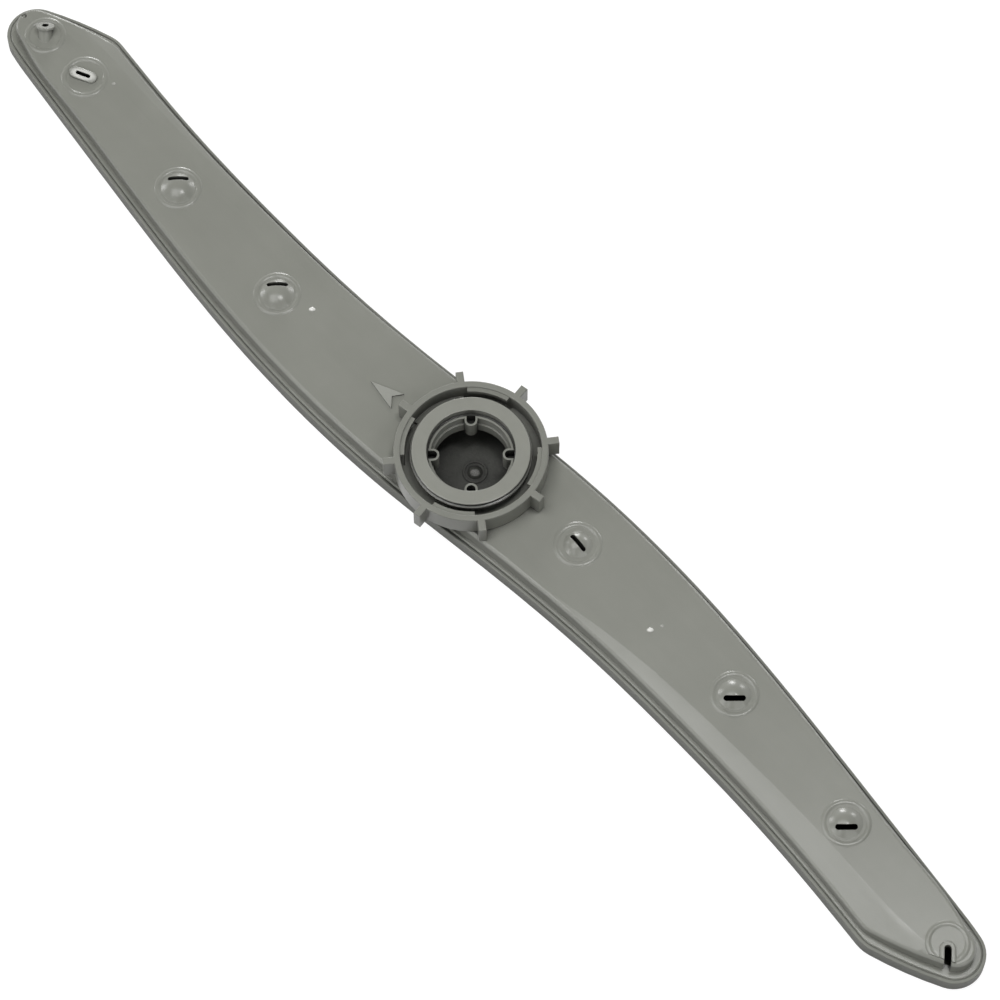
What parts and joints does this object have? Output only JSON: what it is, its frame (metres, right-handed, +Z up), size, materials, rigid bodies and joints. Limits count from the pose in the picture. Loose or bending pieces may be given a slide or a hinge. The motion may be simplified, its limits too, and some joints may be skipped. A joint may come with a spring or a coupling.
{
  "type": "dishwasher spray arm",
  "caption": "S-shaped hollow spray arm of a dishwasher with slotted fan jets, a leaning pipe jet, an inlet collar and a lugged bayonet ring that turns on it.",
  "frame": {"origin": "on the hub axis, at the flat underside of the back shell", "axes": "+Z up along the hub axis, out of the inlet; +X along the arm towards the tip with the slot over its edge"},
  "size_m": [0.5, 0.061, 0.0223],
  "materials": {
    "shell": "satin moulded polypropylene",
    "collar": "matte moulded acetal",
    "ring": "satin moulded polypropylene"
  },
  "bodies": {
    "arm": {"face_shell": "shell", "back_shell": "shell", "bearing_collar": "collar"},
    "ring": {"locking_ring": "ring"}
  },
  "joints": [
    {"name": "ring_turn", "type": "hinge", "parent": "arm", "child": "ring", "pos_m": [0, 0, 0.0179], "axis": [0, 0, 1], "continuous": true}
  ]
}
